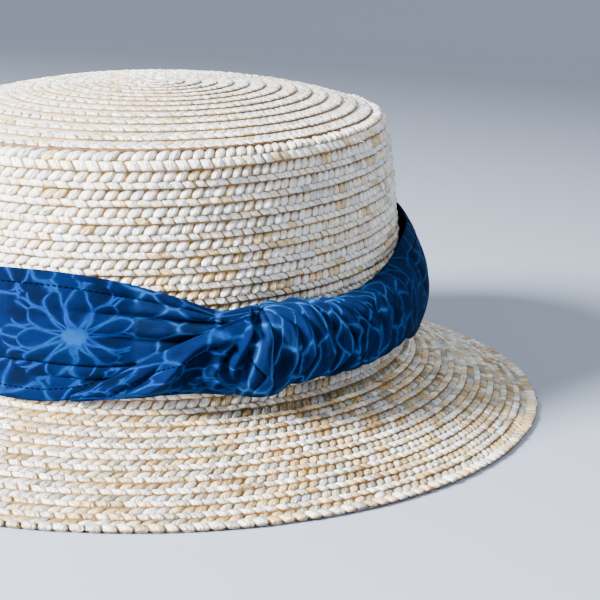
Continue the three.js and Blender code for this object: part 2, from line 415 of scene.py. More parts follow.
def pillows(surface, rows, form, grid, rng, face):
    """Domed stitches of straw at some row numbers: points, fibre coordinates, and how far each
    point is from its stitch's rim."""
    down = np.array(grid[0])[None, :, None]
    across = np.array(grid[1])[None, None, :]
    one = (len(rows), 1, 1)
    wider, steeper, shift, higher, top, bottom, lean = (rng.normal(0, spread, one)
                                                        for spread in VARIATION)
    width, slant, height = (own * (1 + more) for own, more in (
        (form.width, wider), (form.slant, steeper), (form.height, higher)))
    top, bottom = form.top + top, form.bottom + bottom
    rise = np.interp(down, RISE_SHARES, form.rise)
    taper = (1 - np.abs(2 * down - 1) ** 3).clip(0, 1) ** 0.5
    half = width / 2 * (form.blunt + (1 - form.blunt) * taper)
    half = half * (form.narrow + (1 - form.narrow) * smooth(0, 0.55, down))
    along = shift + slant * (0.5 - down) + half * across
    spot = top + (bottom - top) * down
    dome = (1 - np.abs(across) ** form.flat).clip(0, 1) ** 0.6 * rise
    off = height * dome + (OVERLAP + lean) * across * dome - 0.5
    points = surface(rows[:, None, None], along, spot, face * off)
    fibre = np.stack(np.broadcast_arrays(
        across * width / 2 + 17.3 * rng.random(one),
        down * 4 + 31.7 * rng.random(one),
        rng.random(one) + 0 * down * across), -1)
    rim = np.broadcast_to(dome, points.shape[:3])
    return points.reshape(-1, 3), fibre.reshape(-1, 3), rim.reshape(-1, 1)


def add_stitches(heap, surface, ends, mix, forms, rng, grid=FINE_GRID, face=1,
                 painted_shade=(0.92, 1), spread=SPREAD, hidden=None, pitch=STITCH_PITCH):
    """Leaves and puffs between two row numbers. The puffs lie half a stitch along from the leaves.
    mix and the dimming factors are for the leaves and for the puffs; the dimming paints shade on the
    leaves, which lie low in each row, and on the brim a little light on the puffs."""
    rows = stitches(*ends, pitch)
    one = grid_faces(len(grid[0]), len(grid[1]))[None]
    size = len(grid[0]) * len(grid[1])
    for form, factor, own_mix, step in zip(forms, painted_shade, mix, (0, 0.5)):
        spots = rows + step * pitch / around(rows)
        tints = strand_tints(len(rows), own_mix, rng, warmth_at(spots), spread) * factor
        if hidden is not None:
            kept = ~hidden(spots)
            spots, tints = spots[kept], tints[kept]
        points, fibres, rim = pillows(surface, spots, form, grid, rng, face)
        faces = (one + np.arange(len(spots))[:, None, None] * size).reshape(-1, 4)
        # Each stitch darkens toward its rim, partly stained edges and partly painted shade between
        # stitches; the hat's right gets more, as painted shade.
        depth = 1 + SHADE_ON_RIGHT * np.clip(np.sin(coil_angle(spots)), 0, 1)
        stain_and_shade = RIM_STAIN_AND_SHADE ** np.repeat(depth, size)[:, None]
        stain_and_shade = stain_and_shade + (1 - stain_and_shade) * np.clip(rim * 2.4, 0, 1)
        faces = faces[:, ::-1] if face > 0 else faces
        heap.add(points, faces, np.repeat(tints, size, 0) * stain_and_shade, fibres)


def under_band(rows):
    """True for stitches that the band covers."""
    run = OUTLINE.run_at(rows + 0.5)
    height = np.interp(run, OUTLINE.run, OUTLINE.line[:, 1])
    turned = np.degrees(coil_angle(rows)) % 360
    near_knot = (turned > 15) & (turned < 112)
    return (height > 28) & (height < np.where(near_knot, 38, 52))


def add_strip(heap, rows, across, points, tints, face=1):
    """A strip of quads that follows the coil, four points wide."""
    count = len(rows)
    along = np.repeat(rows[:, 0] * 300, 4)
    fibres = np.stack([np.tile(across, count), along, np.zeros(4 * count)], 1)
    faces = grid_faces(count, 4)
    heap.add(points.reshape(-1, 3), faces[:, ::-1] if face > 0 else faces, tints, fibres, 1)


def seams_and_painted_shade(heap, ends, rng, width, tint, patch, per_turn=150, proud=0):
    """The outer edge of each row and its thread, a thin dark brown lip under the puffs whose tone
    changes every few points. The brown is partly the straw's stained edge and partly painted shade in
    the step between rows."""
    rows = np.linspace(*ends, int(per_turn * (ends[1] - ends[0])))[:, None]
    # The lip's section, across in widths and down in mm, wavers along the row.
    shape = np.array([-0.9, 0.15, 0.6, 0.8])
    drop = np.array([0.3, 0.34, 0.6, 0.35]) + row_step(rows) * np.array([0, 0, 0, 1])
    wave = 0.5 * np.sin(rows * 611) + 0.5 * np.sin(rows * 1531 + 2)
    across = 1 + (shape + 0.12 * wave) * width / OUTLINE.pitch(rows)
    points = on_coil(rows, 0, across, proud - 0.1 - drop + 0.06 * wave)
    count = len(rows)
    tone = np.repeat(rng.uniform(0.45, 1.3, (count // patch + 1, 1)), patch, 0)[:count]
    add_strip(heap, rows, shape * 2, points, np.repeat(tone * np.array([tint]), 4, 0))


def backing(heap, ends, tint, face=1):
    """A stepped sheet under the stitches: each row rises to its outer edge and drops to the
    next."""
    rows = np.linspace(*ends, int(120 * (ends[1] - ends[0])))[:, None]
    across = np.array([0, 0.5, 0.95, 1])
    off = np.array([-0.72, -0.5, -0.45, -0.5]) - row_step(rows) * np.array([0, 0, 0, 1])
    if face < 0:
        off = INNER_BACKING - PLAIT_THICKNESS
    points = on_coil(rows, 0, across, off)
    add_strip(heap, rows, across * 5, points, np.tile([tint], (4 * len(rows), 1)), face)


# Cut ends of straw: coil row, place across the row, length in mm, lean along the row.
SIDE_STRAYS = [(-0.16, 0.9, 2.2, 0.2), (0.812, 0.9, 2.2, 0.5), (4.822, 0.2, 2.8, 0.2),
               (3.05, 0.1, 4.5, -1.2)]
BRIM_STRAYS = [(20.98, 0.3, 3.4, 0.2), (23.02, 0.3, 3.2, 0.1), (23.91, 0.95, 3.4, 0.3),
               (22.8, 0.5, 2.6, 0.4), (17.05, 0.9, 2.2, -0.5)]


def stray_ends(heap, known, rng, count, rows):
    """Cut ends of straw that stand out from the seams, some known and some scattered."""
    scattered = np.stack([rng.uniform(*rows, count), rng.uniform(0.2, 0.9, count),
                          rng.uniform(1.4, 3.2, count), rng.uniform(-1, 1, count)], 1)
    share = np.linspace(0, 1, 5)
    for row, across, length, lean in np.concatenate([known, scattered]):
        out = -0.1 + length * (0.35 * share + 0.45 * share ** 2)
        down = across + 0.5 * length * share * (1 - 0.4 * share) / OUTLINE.pitch(row)
        middle = on_coil(row, lean * length * share, down, out)
        forward = np.gradient(middle, axis=0)
        side = unit(np.cross(forward, middle - (0, 0, 40))) * (0.42 * (1 - 0.45 * share))[:, None]
        curl = unit(np.cross(side, forward)) * 0.12
        points = np.stack([middle + part for part in (-side, curl, side, -curl, -side)], 1)
        tints = np.tile(STRAW_TINTS[rng.integers(0, 3)] * (1, 0.97, 0.92), (25, 1))
        fibres = np.stack([np.tile([0, 0.4, 0.8, 0.4, 0], 5), np.repeat(share * 3, 5),
                           np.full(25, rng.random())], 1)
        heap.add(points.reshape(-1, 3), grid_faces(5, 5), tints, fibres)


# ---- materials

class Graph:
    """A new material and its nodes, whose inputs are given as values to link or to set."""

    def __init__(self, name):
        self.material = bpy.data.materials.new(name)
        self.material.use_nodes = True
        self.tree = self.material.node_tree

    def feed(self, made, inputs):
        for key, value in inputs.items():
            socket = made.inputs[key]
            if isinstance(value, Value):
                self.tree.links.new(value.socket, socket)
            elif isinstance(value, tuple):
                socket.default_value = (*value, 1)[:len(socket.default_value)]
            else:
                socket.default_value = value

    def surface(self, inputs):
        self.feed(self.tree.nodes["Principled BSDF"], inputs)
        return self.material

    def node(self, kind, output, inputs, **settings):
        made = self.tree.nodes.new("ShaderNode" + kind)
        for key, value in settings.items():
            setattr(made, key, value)
        self.feed(made, inputs)
        return Value(self, made.outputs[output])

    def attribute(self, name, output="Vector"):
        return self.node("Attribute", output, {}, attribute_name=name)

    def noise(self, vector, scale, detail, roughness=0.5, output="Fac"):
        inputs = {"Vector": vector, "Scale": scale, "Detail": detail, "Roughness": roughness}
        return self.node("TexNoise", output, inputs)

    def cells(self, vector, pitch, randomness, feature, output):
        inputs = {"Vector": vector, "Scale": 1 / pitch, "Randomness": randomness}
        return self.node("TexVoronoi", output, inputs, voronoi_dimensions="2D", feature=feature)

    def ramp(self, value, low, high, start=0, end=1, kind="SMOOTHSTEP"):
        """Goes from start to end while value goes from low to high."""
        inputs = {"Value": value, "From Min": low, "From Max": high, "To Min": start, "To Max": end}
        return self.node("MapRange", "Result", inputs, interpolation_type=kind)

    def blend(self, share, first, second, kind="MIX"):
        inputs = {"Factor": share, "A": first, "B": second}
        return self.node("Mix", "Result", inputs, data_type="RGBA", blend_type=kind)

    def maths(self, operation, *values):
        return self.node("Math", 0, dict(enumerate(values)), operation=operation)

    def vectors(self, operation, *values):
        return self.node("VectorMath", "Vector", dict(enumerate(values)), operation=operation)

    def split(self, vector):
        parts = self.node("SeparateXYZ", "X", {"Vector": vector}).socket.node
        return [Value(self, part) for part in parts.outputs]

    def bump(self, height, strength, distance):
        inputs = {"Height": height, "Strength": strength, "Distance": distance}
        return self.node("Bump", "Normal", inputs)


class Value:
    """An output of a node. Arithmetic with it adds nodes to its graph."""

    def __init__(self, graph, socket):
        self.graph, self.socket = graph, socket

    def __rsub__(self, other):
        return self.graph.maths("SUBTRACT", other, self)


def operator(operation):
    return lambda *values: values[0].graph.maths(operation, *values)


Value.__add__ = operator("ADD")
Value.__sub__ = operator("SUBTRACT")
Value.__mul__ = operator("MULTIPLY")
Value.__truediv__ = operator("DIVIDE")
Value.__pow__ = operator("POWER")
Value.__abs__ = operator("ABSOLUTE")


def straw_material():
    graph = Graph("plaited_straw")
    fibre = graph.attribute("fibre")
    grain = graph.noise(graph.vectors("MULTIPLY", fibre, (2.6, 0.42, 1)), 1, 3, 0.6)
    crumple = graph.noise(graph.vectors("MULTIPLY", fibre, (1.1, 0.5, 1)), 1, 2)
    tone = graph.ramp(grain, 0.3, 0.7, 0.62, 1.16, "LINEAR")
    browner = {"Red": tone, "Green": tone ** 1.35, "Blue": tone ** 1.95}
    browner = graph.node("CombineColor", "Color", browner)
    return graph.surface({
        "Base Color": graph.blend(1, graph.attribute("tint", "Color"), browner, "MULTIPLY"),
        "Normal": graph.bump(grain * 0.35 + crumple, 1, 0.0011),
        "Roughness": 0.26, "Specular IOR Level": 0.8})


def seam_and_shade_material():
    graph = Graph("straw_seam_and_shade")
    grain = graph.noise(graph.attribute("fibre"), 1.1, 3)
    tone = graph.ramp(grain, 0.3, 0.7, 0.3, 1.6, "LINEAR")
    return graph.surface({
        "Base Color": graph.blend(1, graph.attribute("tint", "Color"), tone, "MULTIPLY"),
        "Normal": graph.bump(grain, 0.5, 0.0002), "Roughness": 0.7})


# The batik's dark ground and its lines, where the band lies flat and where it is bunched. The bunched
# ground is the same cloth made paler and greyer, a painted sheen. The cloth is mottled between the
# two colours of a pair.
FLAT_GROUND = ((0, 0.0012, 0.0115), (0, 0.004, 0.034))
BUNCHED_GROUND_WITH_SHEEN = ((0.0012, 0.0038, 0.021), (0.002, 0.0105, 0.063))
FLAT_LINES = ((0.002, 0.023, 0.146), (0.002, 0.03, 0.12))
BUNCHED_LINES = (0.01, 0.07, 0.245)
BLOSSOM_HEART = (0.004, 0.045, 0.16)
# How far apart the blossoms, the net's cells and the threads lie, mm.
BLOSSOM_PITCH = 50
NET_PITCH = 10.5
THREAD_PITCH = 0.42
# Where a blossom gives way to the net around it, and its heart to its petals, mm.
BLOSSOM_REACH = (20, 21.5)
HEART_REACH = (3.2, 4.4)


def batik_material():
    graph = Graph("batik_cotton")
    maths, ramp, blend = graph.maths, graph.ramp, graph.blend
    cloth = graph.attribute("cloth")
    x, y, strength = graph.split(cloth)
    bunched = ramp(strength, 0.8, 0.86, 1, 0)

    # The hand-drawn lines wobble.
    wobble = graph.noise(cloth, 0.085, 1, output="Color")
    wobble = graph.vectors("SUBTRACT", wobble, (0.5, 0.5, 0.5))
    drawn = graph.vectors("MULTIPLY_ADD", wobble, (7, 7, 0), cloth)

    # Blossoms of two rings of petals lie on a loose grid, each turned its own way.
    centre = graph.cells(drawn, BLOSSOM_PITCH, 0.5, "F1", "Position")
    right, up, _ = graph.split(graph.vectors("SUBTRACT", drawn, centre))
    distance = maths("SQRT", right ** 2 + up ** 2)
    turn = maths("ARCTAN2", up, right)
    own_turn = graph.node("TexWhiteNoise", "Value", {"Vector": centre}, noise_dimensions="3D")

    def petal_ring(count, inner, length):
        """The distance from the outline of a ring of petals, less than 0 inside them."""
        lobe = maths("FRACT", turn * (count / FULL_TURN) + own_turn)
        lateral = abs(lobe - 0.5) * (distance * (FULL_TURN / count))
        way = (distance - inner) / length
        broad = maths("MAXIMUM", way * (1 - way) * 4, 0) ** 0.6
        return lateral - broad * (distance * (0.94 * math.pi / count))

    near_petals, far_petals = petal_ring(11, 4, 13), petal_ring(13, 13, 9)
    covered = ramp(near_petals, 0, 0.5, 9, 0)
    petal_line = maths("MINIMUM", abs(near_petals), abs(far_petals) + covered)

    # A net of lines lies between the blossoms and wherever the cloth is bunched.
    net_line = graph.cells(drawn, NET_PITCH, 0.9, "DISTANCE_TO_EDGE", "Distance") * 9
    outside = maths("MAXIMUM", ramp(distance, *BLOSSOM_REACH), bunched)
    line = petal_line * (1 - outside) + net_line * outside

    # The lines are uneven in width and strength, and have a soft edge.
    uneven = graph.noise(cloth, 0.35, 3)
    thin = line * ramp(uneven, 0.3, 0.7, 0.8, 1.6)
    drawing = maths("MAXIMUM", ramp(thin, 0.2, 0.85, 1, 0), ramp(thin, 0.2, 1.9, 0.24, 0))
    fade = ramp(uneven, 0.3, 0.6, 0.6, 1)
    # A weaker print fades the lines and mottles the ground darker; near the neck this darkening is
    # partly painted shade.
    drawing = drawing * fade * maths("MINIMUM", strength * 1.25, 1)
    mottle = graph.noise(cloth, 0.09, 4)
    paler = ramp(mottle, 0.35, 0.65) * ramp(strength, 0.3, 1, 0.45, 1)
    # Where the cloth is bunched, its paler and greyer ground is a painted sheen.
    ground = blend(bunched, blend(paler, *FLAT_GROUND), blend(paler, *BUNCHED_GROUND_WITH_SHEEN))
    lines = blend(bunched, blend(ramp(mottle, 0.4, 0.62), *FLAT_LINES), BUNCHED_LINES)
    colour = blend(drawing, ground, lines)
    heart = ramp(distance, *HEART_REACH, 1, 0) * fade * ramp(strength, 0.86, 0.93, 0, 0.85)
    colour = blend(heart, colour, BLOSSOM_HEART)

    # The weave shows as relief and as fine speckle.
    warp, weft = (maths("SINE", axis * (FULL_TURN / THREAD_PITCH)) for axis in (x, y))
    level = warp * weft + graph.noise(cloth, 1.1, 2) * 2.5
    return graph.surface({
        "Base Color": blend(1, colour, ramp(level, -0.2, 2.7, 0.76, 1.2), "MULTIPLY"),
        "Normal": graph.bump(level, 0.4, 0.0001),
        "Roughness": 0.75, "Specular IOR Level": 0.02,
        "Sheen Weight": 0.03, "Sheen Roughness": 0.7, "Sheen Tint": (0.1, 0.5, 1)})


# ---- the straw pieces

# The rows between which the stitches of each piece lie, flat on the tip up to LAST_FLAT.
TIP_START = -TIP_ROWS - 0.8
LAST_FLAT = -0.9
TIP_END = -0.2
SIDE_END = BRIM_ROW - 0.2
EDGE_COIL = (EDGE_ROW - 0.51, EDGE_ROW + 0.51)


# Each piece is named after its CAD node and what it is.
STRAW_PIECES = ["crown_tip_straw", "crown_side_straw", "brim_straw",
                "crown_tip_inside", "crown_side_inside", "brim_underside"]


def straw():
    """The tip, the side and the brim, outside and inside."""
    rng = np.random.default_rng(11)
    heaps = {name: Heap() for name in STRAW_PIECES}
    tip, side, brim, tip_inside, side_inside, underside = heaps.values()

    add_stitches(tip, on_coil, (TIP_START, LAST_FLAT), CROWN_MIX, TIP_FORMS, rng)
    add_stitches(tip, on_coil, (LAST_FLAT, TIP_END), CROWN_MIX, SIDE_FORMS, rng)
    # The lips between the rows are dark brown, partly stained straw and thread and partly painted
    # shade in the step; the backing's brown is painted shade in the gaps.
    seams_and_painted_shade(tip, (-TIP_ROWS, -1), rng, 0.36, (0.19, 0.098, 0.014), 3)
    add_stitches(side, on_coil, (TIP_END, SIDE_END), CROWN_MIX, SIDE_FORMS, rng, hidden=under_band)
    seams_and_painted_shade(side, (-1, BRIM_ROW - 1), rng, 0.55, (0.25, 0.13, 0.02), 2)
    seams_and_painted_shade(side, (-1.26, -0.86), np.random.default_rng(12), 0.62, (0.11, 0.05, 0.012), 2, 400, 0.22)
    backing(side, (0, BRIM_ROW), CROWN_GAP_SHADE)
    stray_ends(side, SIDE_STRAYS, rng, 9, (0, 4))
    backing(tip, (-TIP_ROWS - 1, 0), CROWN_GAP_SHADE)

    add_stitches(brim, on_coil, (SIDE_END, COIL_END), BRIM_MIX, BRIM_FORMS, rng, painted_shade=(0.84, 1.04),
                 spread=BRIM_SPREAD)
    seams_and_painted_shade(brim, (BRIM_ROW - 1, COIL_END), rng, 0.48, (0.155, 0.074, 0.004), 1, 170)
    stray_ends(brim, BRIM_STRAYS, rng, 14, (BRIM_ROW, COIL_END - 1))
    backing(brim, (BRIM_ROW, COIL_END), BRIM_GAP_SHADE)
    add_stitches(brim, on_edge, EDGE_COIL, BRIM_MIX, EDGE_FORMS, rng, painted_shade=(0.84, 1),
                 spread=BRIM_SPREAD, pitch=EDGE_STITCH_PITCH)

    def add_inner(heap, surface, ends, forms, grid, pitch=STITCH_PITCH):
        add_stitches(heap, surface, ends, CROWN_MIX, forms, rng, grid, -1, pitch=pitch)

    add_inner(tip_inside, under_coil, (TIP_START, TIP_END), TIP_FORMS, INSIDE_GRID)
    add_inner(side_inside, under_coil, (TIP_END, SIDE_END), TIP_FORMS, INSIDE_GRID)
    add_inner(underside, under_coil, (SIDE_END, COIL_END), BRIM_FORMS, COARSE_GRID)
    add_inner(underside, under_edge, EDGE_COIL, EDGE_FORMS, COARSE_GRID, EDGE_STITCH_PITCH)
    backing(tip_inside, (-TIP_ROWS - 1, 0), INNER_TINT, -1)
    backing(side_inside, (0, BRIM_ROW), INNER_TINT, -1)
    backing(underside, (BRIM_ROW, COIL_END), INNER_TINT, -1)

    materials = [straw_material(), seam_and_shade_material()]
    for name, heap in heaps.items():
        stand_for(heap.build(name, materials), name.rpartition("_")[0])


# ---- the band's form

# Band places are degrees round the hat from its front, heights on the crown's side and stands off
# it, mm. DEGREE is about how long a degree is along the cloth.
DEGREE = 1.66
CLOTH = 0.5
HEM_DEPTH = 4.4

# angle, lower edge, upper edge, stand at the edges, stand in the middle
PANEL = np.array([
    [97.4, 27, 54.5, 3.4, 10.6],
    [106, 22.5, 58, 3.8, 11],
    [118, 19.5, 59.6, 3.4, 10.4],
    [132, 19, 61, 2.3, 5.9],
    [148, 19, 62, 1.8, 2.8],
    [180, 19, 62, 1.7, 2.3],
    [270, 19, 62, 1.7, 2.3],
    [360, 19, 62.4, 1.7, 2.3],
    [376, 20, 62.4, 1.7, 2.4],
    [385, 25.5, 60.1, 1.7, 2.6],
    [395, 35.5, 54.8, 1.7, 2.8],
    [401.5, 41, 50.6, 1.9, 2.8],
    [409, 43.5, 52, 4.4, 6],
])
NECK_EDGE = 401.6

# share of the way from the tip to the knot, lower edge, upper edge, stands of the lower edge, the
# middle and the upper edge
FOLD_ANGLES = (17.5, 47.2)
FOLD = np.array([
    [0, 20.4, 22.2, 3.3, 4, 3.6],
    [0.16, 21.2, 27.6, 3.4, 4.9, 3.9],
    [0.43, 22.2, 36.9, 3.6, 7.3, 4.8],
    [0.72, 22.8, 45.2, 4.2, 10.4, 7.2],
    [1, 21.4, 51.4, 5.4, 12.6, 10.2],
])
# Where the fold goes in beside the knot: share of the way up, angle.
FOLD_END = np.array([[0, 45.4], [0.15, 45.4], [0.41, 45.9], [0.66, 47], [0.86, 47.7], [1, 47.9]])
# A distance from the slanting edge is this share of the height below it.
FOLD_SLANT = 0.82

# share of the way round from the knot to the panel, lower edge, upper edge, stand of the front
ROLL_ANGLES = (48.4, 98)
ROLL = np.array([
    [0, 21.8, 51, 12.6],
    [0.036, 21.8, 51.4, 13.2],
    [0.12, 25, 51.4, 14.2],
    [0.35, 25.8, 49, 13.8],
    [0.55, 25.6, 48.6, 13.2],
    [0.8, 27, 51.4, 13],
    [1, 27.4, 54.6, 12.8],
])
# Pleats of the roll: the angle of each one's near valley at the roll's top, and its height.
PLEATS = np.array([
    [46, 1.6], [49.8, 1.8], [53.6, 3.4], [59.6, 2.6], [64.4, 3], [67.3, 1.7], [69.6, 2.6],
    [73.6, 2.1], [78.4, 2.4], [83.4, 1.5], [88.4, 1], [94, 0.8], [100, 0.8]])
# angle, how far a pleat bows toward the panel halfway down, and how far its foot lies back
PLEAT_BOW = np.array([[50, 7, 0.5], [56, 7.3, 1.5], [66, 5.6, 3.6], [75, 4.3, 2.6], [84, 3.3, 1.2],
                      [98, 1, 0.2]])

# share of the way down the front of the knot, angle of its middle, half width in degrees
KNOT = np.array([
    [0, 48.9, 1.9],
    [0.2, 48.3, 2.1],
    [0.45, 47.6, 2.5],
    [0.75, 47.2, 3.3],
    [1, 47.3, 2.9],
])
KNOT_TOP, KNOT_BOTTOM, KNOT_STAND = 50.2, 22.4, 14.6

# The roll and the knot go round from behind their upper edge to behind their lower edge: start and
# reach in half turns, and how far their backs stand off. Their sections are ovals, a bit squared.
ROLL_TURN, ROLL_BACK = (-0.16, 1.32), 4.6
KNOT_TURN, KNOT_BACK = (-0.18, 1.3), 4
SQUARED = 0.85


def read(table, at):
    """A table's other columns at values of its first one, on smooth curves."""
    keys = table[:, 0]
    at = np.clip(at, keys[0], keys[-1])
    index = np.clip(np.searchsorted(keys, at) - 1, 0, len(keys) - 2)
    span = keys[index + 1] - keys[index]
    t = (at - keys[index]) / span
    curves = []
    for values in table.T[1:]:
        slopes = np.gradient(values, keys)
        bent = (1 + 2 * t) * (1 - t) ** 2 * values[index] + t * (1 - t) ** 2 * span * slopes[index]
        bent = bent + t * t * (3 - 2 * t) * values[index + 1]
        curves.append(bent + t * t * (t - 1) * span * slopes[index + 1])
    return curves


def off_wall(angle, height, stand):
    """A point standing off the crown's side, mm."""
    return place(np.radians(angle), wall_radius(height) + stand, height)


def way_round(turn, start, reach):
    """The cosine and sine of the way round a roll of cloth."""
    return np.cos(np.pi * (start + reach * turn)), np.sin(np.pi * (start + reach * turn))


def bowed(value, power):
    return np.sign(value) * np.abs(value) ** power


def wander(values, seed, pitch):
    """Smooth noise between -1 and 1."""
    knots = np.random.default_rng(seed).uniform(-1, 1, 512)
    spot = np.asarray(values) / pitch
    index = np.floor(spot).astype(int)
    share = smooth(0, 1, spot - index)
    return knots[index % 512] * (1 - share) + knots[(index + 1) % 512] * share


def creased(angle, height, creases):
    """How far creases push the cloth out. Each is a path of (angle, height), a depth (less than 0
    for a ridge), a half width, how sharp it is, and the shares over which its ends fade."""
    spots = np.stack(np.broadcast_arrays(angle * DEGREE, height), -1)
    total = np.zeros(spots.shape[:-1])
    fine = np.linspace(0, 1, 28)
    for path, depth, width, sharpness, (fade_in, fade_out) in creases:
        path = np.array(path) * (DEGREE, 1)
        run = run_along(path)
        curve = np.stack(read(np.column_stack([run / run[-1], path]), fine), -1)
        nearest, share = np.full(total.shape, 1e9), np.zeros(total.shape)
        for index, (start, end) in enumerate(zip(curve, curve[1:])):
            step = end - start
            along = np.clip(((spots - start) @ step) / (step @ step), 0, 1)
            gap = np.hypot(*np.moveaxis(spots - start - along[..., None] * step, -1, 0))
            share = np.where(gap < nearest, (index + along) / (len(fine) - 1), share)
            nearest = np.minimum(gap, nearest)
        ends = smooth(0, fade_in + 1e-6, share) * smooth(0, fade_out + 1e-6, 1 - share)
        total = total - depth * ends * np.exp(-(nearest / width) ** sharpness)
    return total


def hem(edge_distance, along):
    """How far out a hem stands, which is drawn in along its stitching."""
    ripple = 0.1 * wander(along, 3, 2.4) + 0.06 * wander(along, 4, 1.1)
    inward = edge_distance - HEM_DEPTH
    doubled = 0.34 * (1 - smooth(-0.1, 0.7, inward))
    drawn = np.exp(-(inward / 0.75) ** 2)
    return doubled - 0.3 * drawn + ripple * np.exp(-(inward / 2.6) ** 2)


PANEL_CREASES = [
    ([(372, 50.8), (382, 49.9), (388, 48.9), (393, 47.9), (399, 46.6), (404, 45.6)],
     2.2, 1.1, 1.3, (0.5, 0)),
    ([(380, 57.2), (388, 54.6), (394, 52), (398, 50), (402, 47.6)], 1.5, 0.8, 1.4, (0.5, 0)),
    ([(376, 43.1), (384, 42.3), (391, 41.4), (397, 40.4)], 1.5, 1.1, 1.4, (0.6, 0)),
    ([(352, 33.3), (362, 32.4), (371, 32.5), (377, 32.3), (384, 32.6), (388, 33.5)],
     1.9, 0.6, 1.3, (0.3, 0)),
    ([(370, 28.9), (377, 27.9), (381, 27.6), (385, 28.6)], 1.4, 0.7, 1.3, (0.4, 0)),
    ([(370, 47), (382, 46.2), (392, 44.7), (403, 44)], -1.5, 1.9, 2, (0.6, 0)),
    ([(376, 53.4), (386, 52.2), (394, 50), (402, 46.9)], -1.1, 1.4, 2, (0.6, 0)),
    ([(366, 38), (377, 37.4), (386, 37.2)], -0.8, 2.4, 2, (0.6, 0.1)),
    ([(330, 45), (345, 46.5), (358, 45.5)], 0.35, 2.6, 2, (0.5, 0.5)),
    ([(104, 26), (107, 36), (106, 47), (102, 56)], 1.5, 1.6, 1.5, (0.2, 0.2)),
    ([(112, 22), (116, 34), (114, 50)], 0.9, 2.4, 2, (0.3, 0.4)),
    ([(120, 24), (128, 36), (130, 52)], -0.8, 4, 2, (0.3, 0.4)),
    ([(150, 30), (163, 33), (180, 31)], 0.4, 3, 2, (0.5, 0.5)),
    ([(205, 50), (225, 47), (245, 49)], 0.4, 2.6, 2, (0.5, 0.5)),
    ([(270, 31), (290, 33.5), (310, 31)], 0.4, 2.4, 2, (0.5, 0.5)),
]


def panel(angle, across):
    """The flat part of the band: across is 0 at its lower edge and 1 at its upper edge."""
    angle, across = np.broadcast_arrays(angle, across)
    lower, upper, edge, middle = read(PANEL, angle)
    height = lower + (upper - lower) * across
    stand = edge + (middle - edge) * np.sin(np.pi * across).clip(0, 1) ** 0.75
    away_from_neck = 1 - smooth(384, 400, angle)
    along = angle * DEGREE
    stand += hem(upper - height, along) + hem(height - lower, along + 57) * away_from_neck
    stand += creased(angle, height, PANEL_CREASES)
    stand += 1.5 * smooth(NECK_EDGE, NECK_EDGE + 0.35, angle)
    return off_wall(angle, height, stand + 0.12 * wander(along + 20 * across, 8, 9))


FOLD_CREASES = [
    ([(27, 23.4), (30, 26.4), (32.2, 30), (33.4, 33), (35.5, 38.1), (37.8, 41.8), (39.6, 43.2),
      (42.2, 42.3), (43, 40.2)], -2.7, 1.25, 1.7, (0.2, 0.12)),
    ([(24, 25), (27.5, 27.2), (30, 30.8), (32, 35), (34.4, 39.4)], 1.2, 1.2, 1.5, (0.3, 0.4)),
    ([(34.6, 27), (37, 32.5), (39.4, 37.6), (40.6, 40)], 1.5, 1.7, 2, (0.3, 0.25)),
    ([(44.4, 41.8), (43.2, 38.8), (42.1, 35.8), (41.8, 32.4)], 4, 0.9, 1.6, (0.2, 0.2)),
    ([(46.8, 47.6), (45.9, 44.4), (44.9, 41.2), (43.7, 37.4), (43.1, 34.2), (43.6, 31), (44, 27.5)],
     -2.3, 0.85, 1.8, (0.05, 0.3)),
    ([(41, 38.8), (40.8, 36), (40.1, 32.4), (41, 30.3), (40.3, 28.4), (41.6, 26.4), (43, 25.6)],
     -1.6, 0.75, 1.8, (0.2, 0.2)),
    ([(38.2, 34.6), (38.4, 31), (39, 27.6), (40.2, 24.6)], 1.1, 0.8, 1.6, (0.3, 0.3)),
    ([(47, 49.8), (42.6, 46.6), (38.4, 42.8)], 0.7, 0.8, 1.4, (0.1, 0.6)),
    ([(30.4, 22.8), (33.6, 25.2), (36.8, 25)], 1, 1, 1.6, (0.3, 0.4)),
]


def fold(share, across):
    """The part folded over the panel's lower corner: across is 0 at its lower edge and 1 at the
    slanting edge."""
    share, across = np.broadcast_arrays(share, across)
    lower, upper, foot, middle, top = read(FOLD, share)
    start, end = FOLD_ANGLES
    angle = start + (end - start) * share
    angle = angle + (read(FOLD_END, across)[0] - end) * smooth(0.3, 1, share)
    height = lower + (upper - lower) * across
    edge = foot + (top - foot) * across
    stand = edge + (middle - (foot + top) / 2) * np.sin(np.pi * across).clip(0, 1) ** 0.8
    past_tip = smooth(0.02, 0.25, share)
    hemmed = hem((upper - height) * FOLD_SLANT, angle * DEGREE + 91)
    stand += hemmed * (1 - smooth(0.8, 1, share)) * past_tip
    stand += creased(angle, height, FOLD_CREASES) * past_tip - 5 * smooth(0.955, 1, share)
    tuck = 1 - smooth(0, 0.12, across)
    return off_wall(angle, height + 0.8 * tuck ** 2, stand - 1.2 * tuck)


def pleats(at):
    """The height of the pleat at a place, the place across it, and its number."""
    index = np.clip(np.searchsorted(PLEATS[:, 0], at) - 1, 0, len(PLEATS) - 2)
    start, end = PLEATS[index, 0], PLEATS[index + 1, 0]
    return PLEATS[index, 1], np.clip((at - start) / (end - start), 0, 1) ** 1.25, index


def pleat_place(angle, down):
    """The angle at the roll's top of the pleat line that passes through a place."""
    bow, foot = read(PLEAT_BOW, angle)
    irregular = 0.9 * wander(down * 16 + angle * 0.6, 12, 5)
    return angle - bow * 4 * down * (1 - down) + foot * down + irregular


